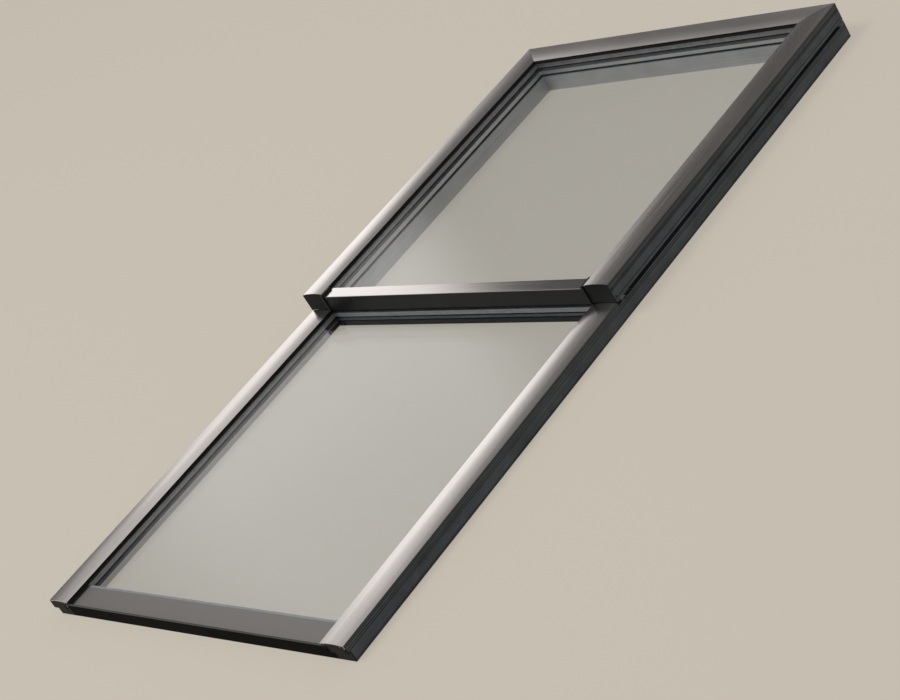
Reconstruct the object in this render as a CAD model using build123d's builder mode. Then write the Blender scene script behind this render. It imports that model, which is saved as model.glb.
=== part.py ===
from build123d import *
import os
from math import acos, cos, pi, radians, sin, sqrt, tan

# A two-pane roof skylight, lying flat: X across, Y up the slope, Z out of the roof.
# The lower pane is fixed. The upper sash rolls down the slope and stops above the lower pane.
# The origin is the middle of the footprint, on the underside. All sizes are millimetres.

# Overall sizes
outer_width = 1400.0
lower_length = 1370.0
sash_length = 1430.0
travel = 1250.0

# Frame section, shared by the base and the sash
rail_width = 70.0
ledge_width = 25.0
ledge_height = 18.0
wall = 3.0
outer_wall = 4.0
groove_depth = 1.0
groove_width = 2.0
fit_gap = 0.3

# Glazing, from the ledge outwards
bedding = 3.0
inner_glass = 9.0
cavity = 16.0
outer_glass = 8.0
edge_gap = 5.0
glass_overlap = 20.0
glass_chamfer = 1.0
spacer_inset = 3.0
spacer_width = 10.0
glass_proud = 1.0
sash_lift = 66.5

# Covers, gaskets and pressure plates
gasket_thickness = 3.0
plate_thickness = 3.0
plate_inset = 10.0
plate_leg = 4.0
cover_edge_rise = 10.5
crown_rise = 4.0
cover_skin = 2.0
cover_lip = 3.5
cover_leg = 2.0
outer_leg_depth = 14.0
inner_leg_depth = 80.0
nose_width = 6.0
cover_tuck = 2.0

# Sill and stepped lower edge
sill_setback = 8.0
sill_glass_setback = 5.0
sill_bedding = 2.0
step_width = 82.0
end_cap_thickness = 3.0
end_step_height = 37.0
drain_slot_length = 11.0
drain_slot_width = 4.0
drain_slot_depth = 6.0
drain_slot_drop = 9.0

# Meeting rail and transom, measured up the slope from the front of the meeting rail
meeting_depth = 47.0
meeting_front_depth = 19.0
meeting_glass_start = 22.0
meeting_drop = 0.5
cap_strip = 1.5
transom_front = 22.0
transom_back = 66.0
transom_height = 60.0
bracket_long = 53.0
bracket_short = 35.0
bracket_thickness = 4.0
end_plate_thickness = 8.0
end_plate_front = 5.0
end_plate_back = 44.0
wiper_radius = 4.0

# Sash running gear
pass_gap = 2.0
skirt_gap = 2.0
track_width = 26.0
track_web = 12.0
track_head = 18.0
roller_radius = 20.0
roller_width = 14.0
roller_bevel = 2.0
roller_depth = 47.0
roller_setback = 120.0
rear_roller_setback = 130.0
axle_radius = 4.0
cheek_thickness = 3.0
cheek_gap = 1.5
carriage_foot = 11.0
carriage_half = 26.0
axle_end = 2.0
running_clearance = 0.05

# Drive: a rack under each side of the sash, and a pinion at each end of a cross shaft
gear_module = 4.0
pinion_teeth = 16
pressure_angle = 20.0
addendum = 3.4
dedendum = 4.4
tooth_thinning = 0.25
rack_gap = 2.5
rack_depth = 12.0
rack_width = 10.0
rack_back = 11.2
web_thickness = 3.0
hub_length = 6.0
hub_radius = 12.0
slot_play = 1.5
shaft_radius = 7.0
shaft_end_depth = 10.0
motor_radius = 16.5
motor_length = 240.0
gearbox_length = 50.0
gearbox_corner = 6.0
saddle_length = 20.0
saddle_foot = 28.0
saddle_seat = 20.0
saddle_rise = 10.0
bearing_length = 16.0
bearing_foot = 32.0
bearing_radius = 14.0

# Screws
screw_radius = 2.5
screw_head_radius = 5.0
screw_head_height = 3.0
screw_hole_play = 0.1
screw_facets = 8
screw_length = 15.0
screw_depth = 45.0
screw_pitch = 300.0
fixing_hole_radius = 3.5
fixing_depth = 35.0
outer_fixing_y = 1300.0
inner_fixing_y = 500.0

# Seals
brush_width = 6.0
brush_depth = 84.0
weather_bar_width = 22.0
weather_bar_height = 12.0

# Places that follow from the sizes above
half_width = outer_width / 2
y_bottom = -(lower_length + sash_length) / 2
y_meet = y_bottom + lower_length
y_top = y_meet + sash_length
frame_width = rail_width + ledge_width
inner_half = half_width - frame_width
rail_inner_half = half_width - rail_width
glass_half = half_width - rail_width - edge_gap
lower_glass_top = ledge_height + bedding + inner_glass + cavity + outer_glass
sash_glass_top = lower_glass_top + sash_lift
rail_top = lower_glass_top - glass_proud
sash_rail_top = rail_top + sash_lift
sash_ledge_top = ledge_height + sash_lift
cover_edge = lower_glass_top + cover_edge_rise
crown = cover_edge + crown_rise
sash_underside = crown + pass_gap
sash_skirt = cover_edge + skirt_gap
plate_top = lower_glass_top + gasket_thickness + plate_thickness
sill_top = lower_glass_top - outer_glass - sill_bedding
transom_middle = (transom_front + wall + transom_back - wall) / 2
shaft_y = y_meet + transom_middle
pitch_radius = gear_module * pinion_teeth / 2
pitch_line = crown + rack_gap + addendum
shaft_z = pitch_line - pitch_radius
tip_radius = pitch_radius + addendum
tooth_pitch = pi * gear_module
roller_z = crown + fit_gap + roller_radius
roller_x = half_width - roller_depth
front_roller_y = y_meet + roller_setback
rear_roller_y = y_top - rear_roller_setback
meeting_bottom = cover_edge - meeting_drop
meeting_top = sash_rail_top + fit_gap


def rect(u0, z0, u1, z1):
    """Corners of an upright rectangle in a section."""
    return [(u0, z0), (u1, z0), (u1, z1), (u0, z1)]


def grooved(z_low, z_high, grooves):
    """Points up the outer face of a rail, from z_low to z_high, dipping into each groove."""
    points = [(0, z_low)]
    for z in grooves:
        low, high = z - groove_width / 2, z + groove_width / 2
        points += [(0, low), (groove_depth, low), (groove_depth, high), (0, high)]
    return points + [(0, z_high)]


def from_side(points):
    """Section points, given as depth in from the right outer face and height, in X and Z."""
    return [(half_width - u, z) for u, z in points]


def from_top(points):
    """Section points, given as depth in from the top end and height, in Y and Z."""
    return [(y_top - v, z) for v, z in points]


def from_bottom(points):
    """Section points, given as depth in from the bottom end and height, in Y and Z."""
    return [(y_bottom + v, z) for v, z in points]


def from_meeting(points):
    """Section points, given as distance up the slope from the meeting line and height."""
    return [(y_meet + v, z) for v, z in points]


def side_bar(section, y0, y1):
    """A straight bar up the right side, with its section in depth and height."""
    with BuildPart() as bar:
        with BuildSketch(Plane.XZ.offset(-y1)):
            Polygon(from_side(section))
        extrude(amount=y1 - y0)
    return bar


def cross_bar(section, half_length, chambers=()):
    """A straight bar across the frame, with its section in Y and Z."""
    with BuildPart() as bar:
        with BuildSketch(Plane.YZ):
            Polygon(section)
            for chamber in chambers:
                Polygon(chamber, mode=Mode.SUBTRACT)
        extrude(amount=half_length, both=True)
    return bar


def mirrored(source):
    """The left-hand twin of a right-hand piece."""
    with BuildPart() as twin:
        mirror(source.part, about=Plane.YZ)
    return twin


def both_sides(source):
    """A right-hand piece and its left-hand twin as one group of separate solids."""
    with BuildPart() as pair:
        add(source.part)
        mirror(source.part, about=Plane.YZ)
    return pair


def pane(x_half, y0, y1, z0, thickness):
    """A glass sheet with ground edges."""
    with BuildPart() as sheet:
        with BuildSketch(Plane.XY.offset(z0)):
            with Locations((0, (y0 + y1) / 2)):
                Rectangle(2 * x_half, y1 - y0)
        extrude(amount=thickness)
        chamfer(sheet.edges().filter_by(Axis.Z, reverse=True), glass_chamfer)
    return sheet


def spacer_ring(y0, y1, z0):
    """The spacer bar between two panes, set in from their edges."""
    x_out = glass_half - spacer_inset
    with BuildPart() as ring:
        with BuildSketch(Plane.XY.offset(z0)):
            with Locations((0, (y0 + y1) / 2)):
                Rectangle(2 * x_out, y1 - y0 - 2 * spacer_inset)
                Rectangle(
                    2 * (x_out - spacer_width),
                    y1 - y0 - 2 * (spacer_inset + spacer_width),
                    mode=Mode.SUBTRACT,
                )
        extrude(amount=cavity)
    return ring


def gasket_section(glass_z):
    """An outer gasket: a flat web under the pressure plate and a nose beside the cover's lip."""
    nose = frame_width + nose_width
    plate_edge = frame_width - 2.5
    return [
        (rail_width + edge_gap + 1, glass_z),
        (nose - 1, glass_z),
        (nose, glass_z + 1),
        (frame_width + 1, glass_z + cover_edge_rise - cover_lip - fit_gap),
        (plate_edge, glass_z + cover_edge_rise - cover_lip - fit_gap),
        (plate_edge, glass_z + gasket_thickness),
        (rail_width + edge_gap + 1, glass_z + gasket_thickness),
    ]


def plate_section(glass_z):
    """A pressure plate: a flat bar over the glass edge with a leg down to the rail's top."""
    plate_z = glass_z + gasket_thickness
    plate_edge = frame_width - 2.8
    return [
        (plate_inset, glass_z - glass_proud),
        (plate_inset + plate_leg, glass_z - glass_proud),
        (plate_inset + plate_leg, plate_z),
        (plate_edge, plate_z),
        (plate_edge, plate_z + plate_thickness),
        (plate_inset, plate_z + plate_thickness),
    ]


def dome_height(depth, edge_z):
    """Height of a cover's outer skin at a depth in from its outer edge."""
    radius = (frame_width**2 / 4 + crown_rise**2) / (2 * crown_rise)
    across = depth - frame_width / 2
    return edge_z + crown_rise - radius + sqrt(radius**2 - across**2)


def cover_bar(across, length_plane, length, edge_z, both=False):
    """A domed cover: a thin skin with a deep outer lip, a short inner lip and two clip legs.

    across turns depth and height into the sketch plane's own coordinates.
    """
    lip_z = edge_z - cover_edge_rise - glass_proud + fit_gap
    inner_z = edge_z - cover_lip
    leg_z = edge_z - cover_edge_rise + gasket_thickness + plate_thickness
    under = edge_z - cover_skin * 0.75
    outer = [(0, lip_z), (0, edge_z)]
    inner = [(frame_width, edge_z), (frame_width, inner_z)]
    crown_point = (frame_width / 2, edge_z + crown_rise)
    inside = [(frame_width - cover_skin, inner_z), (frame_width - cover_skin, under)]
    under_crown = (frame_width / 2, edge_z + crown_rise - cover_skin)
    back = [(cover_skin, under), (cover_skin, lip_z)]
    with BuildPart() as bar:
        with BuildSketch(length_plane):
            with BuildLine():
                Polyline(across(outer))
                ThreePointArc(*across([outer[1], crown_point, inner[0]]))
                Polyline(across(inner + [inside[0]]))
                Polyline(across(inside))
                ThreePointArc(*across([inside[1], under_crown, back[0]]))
                Polyline(across(back))
                Polyline(across([back[1], outer[0]]))
            make_face()
            for depth in (outer_leg_depth, inner_leg_depth):
                top = dome_height(depth, edge_z) - cover_skin / 2
                Polygon(across(rect(depth, leg_z, depth + cover_leg, top)))
        extrude(amount=length, both=both)
    return bar


# Base frame: two side rails, a head rail, a sill rail and a transom
base_grooves = [5.0, 39.5, 47.0]
body_top_end = y_top - end_cap_thickness
body_bottom_end = y_bottom + end_cap_thickness
sill_back = y_bottom + rail_width
head_front = y_top - rail_width
transom_y0 = y_meet + transom_front
transom_y1 = y_meet + transom_back
screw_rows = 5
lower_screw_y = (y_bottom + y_meet) / 2
sash_screw_y = (y_meet + y_top) / 2 + 50.0

base_body = grooved(0, rail_top, base_grooves) + [(rail_width, rail_top), (rail_width, 0)]
web_start = rack_depth + rack_width + 5.0
outer_chamber = rect(outer_wall, wall, web_start, rail_top - wall)
inner_chamber = rect(web_start + web_thickness, wall, rail_width - wall, rail_top - wall)
ledge = rect(rail_width, 0, frame_width, ledge_height)
ledge_chamber = rect(rail_width, wall, frame_width - wall, ledge_height - wall)

with BuildPart() as base_right_rail:
    with BuildSketch(Plane.XZ.offset(-body_top_end)):
        Polygon(from_side(base_body))
        Polygon(from_side(outer_chamber), mode=Mode.SUBTRACT)
        Polygon(from_side(inner_chamber), mode=Mode.SUBTRACT)
    extrude(amount=body_top_end - body_bottom_end)
    for low, high in ((sill_back, transom_y0), (transom_y1, head_front)):
        with BuildSketch(Plane.XZ.offset(-high)):
            Polygon(from_side(ledge))
            Polygon(from_side(ledge_chamber), mode=Mode.SUBTRACT)
        extrude(amount=high - low)
    # Below the step, the bottom end is set back to the sill's front
    with BuildSketch(Plane.YZ.offset(rail_inner_half)):
        Polygon(from_bottom(rect(0, 0, sill_setback + end_cap_thickness, end_step_height)))
    extrude(amount=rail_width, mode=Mode.SUBTRACT)
    # The pinion stands up through a slot in the top wall
    with BuildSketch(Plane.XY.offset(rail_top - wall)):
        with Locations((half_width - rack_depth - (rack_width - hub_length) / 2, shaft_y)):
            Rectangle(rack_width + hub_length + 2 * slot_play, 2 * tip_radius + 6)
    extrude(amount=wall, mode=Mode.SUBTRACT)
    # The cross shaft passes the web and the inner wall
    with BuildSketch(Plane.YZ.offset(rail_inner_half)):
        with Locations((shaft_y, shaft_z)):
            Circle(shaft_radius + 0.5)
    extrude(amount=rail_width - web_start, mode=Mode.SUBTRACT)
    # Fixing holes in the underside
    with BuildSketch(Plane.XY):
        with Locations(
            *[
                (half_width - fixing_depth, y)
                for y in (-outer_fixing_y, -inner_fixing_y, inner_fixing_y, outer_fixing_y)
            ]
        ):
            Circle(fixing_hole_radius)
    extrude(amount=wall, mode=Mode.SUBTRACT)
    # Pilot holes for the pressure plate's screws
    with BuildSketch(Plane.XY.offset(rail_top - wall)):
        with Locations((half_width - screw_depth, lower_screw_y)):
            with GridLocations(1, screw_pitch, 1, screw_rows):
                RegularPolygon(screw_radius + screw_hole_play, screw_facets)
    extrude(amount=wall, mode=Mode.SUBTRACT)
base_left_rail = mirrored(base_right_rail)

head_body = grooved(0, rail_top, base_grooves) + [(rail_width, rail_top), (rail_width, 0)]
head_chamber = rect(outer_wall, wall, rail_width - wall, rail_top - wall)
with BuildPart() as base_head_rail:
    with BuildSketch(Plane.YZ):
        Polygon(from_top(head_body))
        Polygon(from_top(head_chamber), mode=Mode.SUBTRACT)
    extrude(amount=rail_inner_half, both=True)
    with BuildSketch(Plane.YZ):
        Polygon(from_top(ledge))
        Polygon(from_top(ledge_chamber), mode=Mode.SUBTRACT)
    extrude(amount=inner_half, both=True)

with BuildPart() as base_sill_rail:
    with BuildSketch(Plane.YZ):
        Polygon(from_bottom(rect(sill_setback, 0, rail_width, sill_top)))
        Polygon(
            from_bottom(rect(sill_setback + wall, wall, rail_width - wall, sill_top - wall)),
            mode=Mode.SUBTRACT,
        )
    extrude(amount=rail_inner_half, both=True)
    with BuildSketch(Plane.YZ):
        Polygon(from_bottom(ledge))
        Polygon(from_bottom(ledge_chamber), mode=Mode.SUBTRACT)
    extrude(amount=inner_half, both=True)

with BuildPart() as base_transom:
    # An open channel that holds the drive
    with BuildSketch(Plane.YZ):
        Polygon(from_meeting(rect(transom_front, 0, transom_back, transom_height)))
        Polygon(
            from_meeting(
                rect(transom_front + wall, wall, transom_back - wall, transom_height)
            ),
            mode=Mode.SUBTRACT,
        )
    extrude(amount=rail_inner_half, both=True)
    # The ledge under the upper edge of the lower glazing
    with BuildSketch(Plane.YZ):
        Polygon(from_meeting(rect(transom_front - ledge_width, 0, transom_front, ledge_height)))
        Polygon(
            from_meeting(
                rect(
                    transom_front - ledge_width + wall,
                    wall,
                    transom_front,
                    ledge_height - wall,
                )
            ),
            mode=Mode.SUBTRACT,
        )
    extrude(amount=inner_half, both=True)

with BuildPart() as bracket:
    # An angle that ties the transom's ledge to the side rail's ledge
    bracket_y = y_meet + transom_front - ledge_width
    with BuildSketch(Plane.XY.offset(wall)):
        Polygon(
            [
                (inner_half, bracket_y - bracket_long),
                (inner_half, bracket_y),
                (inner_half - bracket_short, bracket_y),
                (inner_half - bracket_short, bracket_y - bracket_thickness),
                (inner_half - bracket_thickness, bracket_y - bracket_thickness),
                (inner_half - bracket_thickness, bracket_y - bracket_long),
            ]
        )
    extrude(amount=ledge_height - 2 * wall)
transom_brackets = both_sides(bracket)

with BuildPart() as rail_end:
    # A moulded cap over each end of a side rail, with a drain slot near the outer face
    with BuildSketch(Plane.XZ.offset(-y_top)):
        Polygon(from_side(rect(0, 0, rail_width, rail_top)))
    extrude(amount=end_cap_thickness)
    # The bottom cap follows the step in the rail's end
    with BuildSketch(Plane.YZ.offset(rail_inner_half)):
        Polygon(
            from_bottom(
                [
                    (0, end_step_height - end_cap_thickness),
                    (sill_setback, end_step_height - end_cap_thickness),
                    (sill_setback, 0),
                    (sill_setback + end_cap_thickness, 0),
                    (sill_setback + end_cap_thickness, end_step_height),
                    (end_cap_thickness, end_step_height),
                    (end_cap_thickness, rail_top),
                    (0, rail_top),
                ]
            )
        )
    extrude(amount=rail_width)
    for end_y in (body_bottom_end, y_top):
        with BuildSketch(Plane.XZ.offset(-end_y)):
            with Locations((half_width - drain_slot_depth, rail_top - drain_slot_drop)):
                SlotOverall(drain_slot_length, drain_slot_width, rotation=90)
        extrude(amount=end_cap_thickness, mode=Mode.SUBTRACT)
rail_end_caps = both_sides(rail_end)

# Lower glazing, stepped at the bottom edge
lower_glass_end = y_meet + glass_overlap
lower_pane_start = y_bottom + sill_glass_setback
lower_inner_start = y_bottom + step_width
lower_inner_z = ledge_height + bedding
lower_outer_z = lower_glass_top - outer_glass
lower_outer_pane = pane(
    glass_half, lower_pane_start, lower_glass_end, lower_outer_z, outer_glass
)
lower_inner_pane = pane(
    glass_half, lower_inner_start, lower_glass_end, lower_inner_z, inner_glass
)
lower_spacer_bar = spacer_ring(
    lower_inner_start, lower_glass_end, lower_inner_z + inner_glass
)

strip_low, strip_high = rail_width + edge_gap + 4, rail_width + edge_gap + 16
strip_half = half_width - strip_high - 1
with BuildPart() as side_bedding:
    with BuildSketch(Plane.XY.offset(ledge_height)):
        Polygon(
            [
                (half_width - strip_high, lower_inner_start + 1),
                (half_width - strip_low, lower_inner_start + 1),
                (half_width - strip_low, lower_glass_end - 1),
                (half_width - strip_high, lower_glass_end - 1),
            ]
        )
    extrude(amount=bedding)
with BuildPart() as lower_bedding_strips:
    add(side_bedding.part)
    mirror(side_bedding.part, about=Plane.YZ)
    with BuildSketch(Plane.YZ):
        Polygon(from_bottom(rect(step_width + 1, ledge_height, frame_width - 2, lower_inner_z)))
        Polygon(
            from_meeting(
                rect(glass_overlap - 17, ledge_height, glass_overlap - 5, lower_inner_z)
            )
        )
        Polygon(from_bottom(rect(20, sill_top, 60, lower_outer_z)))
    extrude(amount=strip_half, both=True)

with BuildPart() as setting_blocks:
    # Blocks that carry the lower glazing on the sill
    with BuildSketch(Plane.XY.offset(ledge_height)):
        with Locations((0, y_bottom + (rail_width + step_width) / 2)):
            with GridLocations(glass_half, 1, 2, 1):
                Rectangle(100, step_width - rail_width)
    extrude(amount=bedding + inner_glass)

lower_gasket = side_bar(gasket_section(lower_glass_top), lower_pane_start, lower_glass_end)
lower_gaskets = both_sides(lower_gasket)

plate_end = y_meet - 1.0
with BuildPart() as pressure_plate_right:
    with BuildSketch(Plane.XZ.offset(-plate_end)):
        Polygon(from_side(plate_section(lower_glass_top)))
    extrude(amount=plate_end - (y_bottom + cover_tuck))
    with BuildSketch(Plane.XY.offset(plate_top - plate_thickness)):
        with Locations((half_width - screw_depth, lower_screw_y)):
            with GridLocations(1, screw_pitch, 1, screw_rows):
                RegularPolygon(screw_radius + screw_hole_play, screw_facets)
    extrude(amount=plate_thickness, mode=Mode.SUBTRACT)
pressure_plate_left = mirrored(pressure_plate_right)


def plate_screw(seat_z):
    """A hexagon head screw through a pressure plate into the rail, on the Z axis."""
    with BuildPart() as screw:
        with BuildSketch(Plane.XY.offset(seat_z - screw_length)):
            RegularPolygon(screw_radius, screw_facets)
        extrude(amount=screw_length)
        with BuildSketch(Plane.XY.offset(seat_z)):
            RegularPolygon(screw_head_radius, 6)
        extrude(amount=screw_head_height)
    return screw.part


with BuildPart() as pressure_plate_screws:
    for side in (-1, 1):
        with Locations((side * (half_width - screw_depth), lower_screw_y)):
            with GridLocations(1, screw_pitch, 1, screw_rows):
                add(plate_screw(plate_top))

lower_cover_end = y_meet + cover_tuck
lower_cover_right = cover_bar(
    from_side, Plane.XZ.offset(-lower_cover_end), lower_cover_end - y_bottom, cover_edge
)
lower_cover_left = mirrored(lower_cover_right)

# Upper half of the base: running tracks, reveal liners, brush seals and the head bar
track_middle = roller_depth
track_foot = rail_top + wall
track_neck = rail_top + 9.0
track_shoulder = crown - 4.0
track_section = [
    (track_middle - track_width / 2, rail_top),
    (track_middle + track_width / 2, rail_top),
    (track_middle + track_width / 2, track_foot),
    (track_middle + track_web / 2, track_foot),
    (track_middle + track_web / 2, track_neck),
    (track_middle + track_head / 2, track_shoulder),
    (track_middle + track_head / 2, crown - 1),
    (track_middle + track_head / 2 - 1, crown),
    (track_middle - track_head / 2 + 1, crown),
    (track_middle - track_head / 2, crown - 1),
    (track_middle - track_head / 2, track_shoulder),
    (track_middle - track_web / 2, track_neck),
    (track_middle - track_web / 2, track_foot),
    (track_middle - track_width / 2, track_foot),
]
track_start = lower_cover_end + fit_gap
track_end = y_top - weather_bar_width - 6.0
running_track_right = side_bar(track_section, track_start, track_end)
running_track_left = mirrored(running_track_right)

liner_back = rail_width + fit_gap
liner_section = [
    (liner_back, ledge_height),
    (frame_width, ledge_height),
    (frame_width, transom_height),
    (liner_back, transom_height),
    (liner_back, transom_height - 2),
    (frame_width - 2, transom_height - 2),
    (frame_width - 2, ledge_height + 2),
    (liner_back, ledge_height + 2),
]
liner_start = transom_y1 + fit_gap
liner_end = y_top - frame_width - fit_gap
reveal_liner_right = side_bar(liner_section, liner_start, liner_end)
reveal_liner_left = mirrored(reveal_liner_right)
reveal_liner_head = cross_bar(from_top(liner_section), rail_inner_half - fit_gap)

brush_section = rect(
    brush_depth, transom_height, brush_depth + brush_width, sash_underside - fit_gap
)
brush_right = side_bar(brush_section, liner_start, liner_end)
with BuildPart() as brush_seals:
    add(brush_right.part)
    mirror(brush_right.part, about=Plane.YZ)
    with BuildSketch(Plane.YZ):
        Polygon(from_top(brush_section))
    extrude(amount=half_width - brush_depth, both=True)
    with BuildSketch(Plane.YZ):
        Polygon(
            from_meeting(
                rect(transom_front, transom_height, transom_front + wall, meeting_bottom - fit_gap)
            )
        )
    extrude(amount=inner_half - end_plate_thickness - 2, both=True)

head_weather_bar = cross_bar(
    from_top(
        [
            (0, rail_top),
            (weather_bar_width, rail_top),
            (weather_bar_width, rail_top + weather_bar_height),
            (3, rail_top + weather_bar_height),
            (0, rail_top + weather_bar_height - 3),
        ]
    ),
    half_width,
)

# Drive in the transom
with BuildPart() as cross_shaft:
    with BuildSketch(Plane.YZ):
        with Locations((shaft_y, shaft_z)):
            Circle(shaft_radius)
    extrude(amount=half_width - shaft_end_depth, both=True)
    chamfer(cross_shaft.edges().filter_by(GeomType.CIRCLE), 1)

base_radius = pitch_radius * cos(radians(pressure_angle))
root_radius = pitch_radius - dedendum


def flank_point(radius, half_thickness_angle, side):
    """A point on an involute flank of the tooth that stands along the local X axis."""
    roll = acos(min(1, base_radius / radius))
    pitch_roll = radians(pressure_angle)
    angle = half_thickness_angle + (tan(pitch_roll) - pitch_roll) - (tan(roll) - roll)
    return (radius * cos(angle), side * radius * sin(angle))


tooth_half_angle = (tooth_pitch / 2 - tooth_thinning) / (2 * pitch_radius)
flank_radii = (base_radius, pitch_radius, tip_radius)
flank_right = [flank_point(r, tooth_half_angle, -1) for r in flank_radii]
flank_left = [flank_point(r, tooth_half_angle, 1) for r in reversed(flank_radii)]
root_scale = (root_radius - 0.5) / base_radius
root_right = (flank_right[0][0] * root_scale, flank_right[0][1] * root_scale)
root_left = (flank_left[2][0] * root_scale, flank_left[2][1] * root_scale)
pinion_plane = Plane(
    origin=(half_width - rack_depth - rack_width, shaft_y, shaft_z), x_dir=(0, 1, 0), z_dir=(1, 0, 0)
)
with BuildPart() as pinion_right:
    with BuildSketch(pinion_plane):
        with BuildSketch(mode=Mode.PRIVATE) as tooth:
            with BuildLine():
                Line(root_right, flank_right[0])
                ThreePointArc(*flank_right)
                Line(flank_right[2], flank_left[0])
                ThreePointArc(*flank_left)
                Line(flank_left[2], root_left)
                Line(root_left, root_right)
            make_face()
        Circle(root_radius)
        # A gap, not a tooth, stands under the rack tooth at the top
        with PolarLocations(0, pinion_teeth, start_angle=90 + 180 / pinion_teeth):
            add(tooth.sketch)
        Circle(shaft_radius + running_clearance, mode=Mode.SUBTRACT)
    extrude(amount=rack_width)
    with BuildSketch(pinion_plane.offset(rack_width)):
        Circle(hub_radius)
        Circle(shaft_radius + running_clearance, mode=Mode.SUBTRACT)
    extrude(amount=hub_length)
pinion_left = mirrored(pinion_right)

motor_floor = wall
with BuildPart() as gear_motor:
    # A tube motor with a gearbox, on two saddles on the channel's floor
    with BuildSketch(Plane.YZ):
        with Locations((shaft_y, shaft_z)):
            Circle(motor_radius)
    extrude(amount=motor_length / 2, both=True)
    with BuildSketch(Plane.YZ.offset(motor_length / 2)):
        with Locations((shaft_y, shaft_z)):
            RectangleRounded(2 * motor_radius, 2 * motor_radius, gearbox_corner)
    extrude(amount=gearbox_length)
    for saddle_x in (saddle_length - motor_length / 2, motor_length / 2 - 2 * saddle_length):
        with BuildSketch(Plane.YZ.offset(saddle_x)):
            Polygon(
                [
                    (shaft_y - saddle_foot / 2, motor_floor),
                    (shaft_y + saddle_foot / 2, motor_floor),
                    (shaft_y + saddle_seat / 2, shaft_z - saddle_rise),
                    (shaft_y - saddle_seat / 2, shaft_z - saddle_rise),
                ]
            )
        extrude(amount=saddle_length)
    with BuildSketch(Plane.YZ):
        with Locations((shaft_y, shaft_z)):
            Circle(shaft_radius + running_clearance)
    extrude(amount=motor_length, both=True, mode=Mode.SUBTRACT)

with BuildPart() as bearing:
    # A pillow block with a round top
    with BuildSketch(Plane.YZ.offset(inner_half - bearing_length)):
        Polygon(
            [
                (shaft_y - bearing_foot / 2, motor_floor),
                (shaft_y + bearing_foot / 2, motor_floor),
                (shaft_y + bearing_radius, shaft_z),
                (shaft_y - bearing_radius, shaft_z),
            ]
        )
        with Locations((shaft_y, shaft_z)):
            Circle(bearing_radius)
            Circle(shaft_radius + running_clearance, mode=Mode.SUBTRACT)
    extrude(amount=bearing_length)
shaft_bearings = both_sides(bearing)

# Sash frame
sash_start = y_meet + end_cap_thickness
sash_grooves = [77.0, 105.0, 109.0, 113.0]
sash_end = y_top
web_z = pitch_line + dedendum + rack_back
sash_side_section = (
    grooved(sash_skirt, sash_rail_top, sash_grooves)
    + [
        (rail_width, sash_rail_top),
        (rail_width, sash_underside),
        (rail_width - wall, sash_underside),
        (rail_width - wall, sash_rail_top - wall),
        (outer_wall, sash_rail_top - wall),
        (outer_wall, web_z + web_thickness),
        (web_start, web_z + web_thickness),
        (web_start, web_z),
        (outer_wall, web_z),
        (outer_wall, sash_skirt),
    ]
)
sash_ledge = rect(rail_width, sash_underside, frame_width, sash_ledge_top)
sash_ledge_chamber = rect(
    rail_width, sash_underside + wall, frame_width - wall, sash_ledge_top - wall
)
with BuildPart() as sash_right_rail:
    with BuildSketch(Plane.XZ.offset(-sash_end)):
        Polygon(from_side(sash_side_section))
    extrude(amount=sash_end - sash_start)
    with BuildSketch(Plane.XZ.offset(-head_front)):
        Polygon(from_side(sash_ledge))
        Polygon(from_side(sash_ledge_chamber), mode=Mode.SUBTRACT)
    extrude(amount=head_front - sash_start)
    with BuildSketch(Plane.XY.offset(sash_rail_top - wall)):
        with Locations((half_width - screw_depth, sash_screw_y)):
            with GridLocations(1, screw_pitch, 1, screw_rows):
                RegularPolygon(screw_radius + screw_hole_play, screw_facets)
    extrude(amount=wall, mode=Mode.SUBTRACT)
sash_left_rail = mirrored(sash_right_rail)

sash_head_body = [(0, sash_underside)] + grooved(sash_underside + 2, sash_rail_top, sash_grooves)
sash_head_body += [(rail_width, sash_rail_top), (rail_width, sash_underside)]
with BuildPart() as sash_head_rail:
    with BuildSketch(Plane.YZ):
        Polygon(from_top(sash_head_body))
        Polygon(
            from_top(
                rect(outer_wall, sash_underside + wall, rail_width - wall, sash_rail_top - wall)
            ),
            mode=Mode.SUBTRACT,
        )
    extrude(amount=rail_inner_half, both=True)
    with BuildSketch(Plane.YZ):
        Polygon(from_top(sash_ledge))
        Polygon(from_top(sash_ledge_chamber), mode=Mode.SUBTRACT)
    extrude(amount=inner_half, both=True)
    with BuildSketch(Plane.XY.offset(sash_rail_top - wall)):
        with Locations((0, y_top - screw_depth)):
            with GridLocations(screw_pitch, 1, 4, 1):
                RegularPolygon(screw_radius + screw_hole_play, screw_facets)
    extrude(amount=wall, mode=Mode.SUBTRACT)

meeting_half = inner_half - end_plate_thickness
meeting_section = [
    (0, meeting_bottom),
    (meeting_depth, meeting_bottom),
    (meeting_depth, sash_ledge_top),
    (meeting_front_depth, sash_ledge_top),
    (meeting_front_depth, meeting_top),
    (0, meeting_top),
]
meeting_chambers = [
    rect(wall, meeting_bottom + wall, meeting_front_depth - wall, meeting_top - wall),
    rect(meeting_front_depth, meeting_bottom + wall, meeting_depth - wall, sash_ledge_top - wall),
]
meeting_rail = cross_bar(
    from_meeting(meeting_section),
    meeting_half,
    [from_meeting(chamber) for chamber in meeting_chambers],
)
cap_under = sash_glass_top + fit_gap
meeting_rail_cap = cross_bar(
    from_meeting(
        [
            (0, meeting_top),
            (meeting_front_depth, meeting_top),
            (meeting_front_depth, cap_under),
            (meeting_depth, cap_under),
            (meeting_depth, cap_under + cap_strip),
            (0.8, cap_under + cap_strip),
            (0, cap_under + cap_strip - 0.8),
        ]
    ),
    meeting_half,
)

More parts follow.
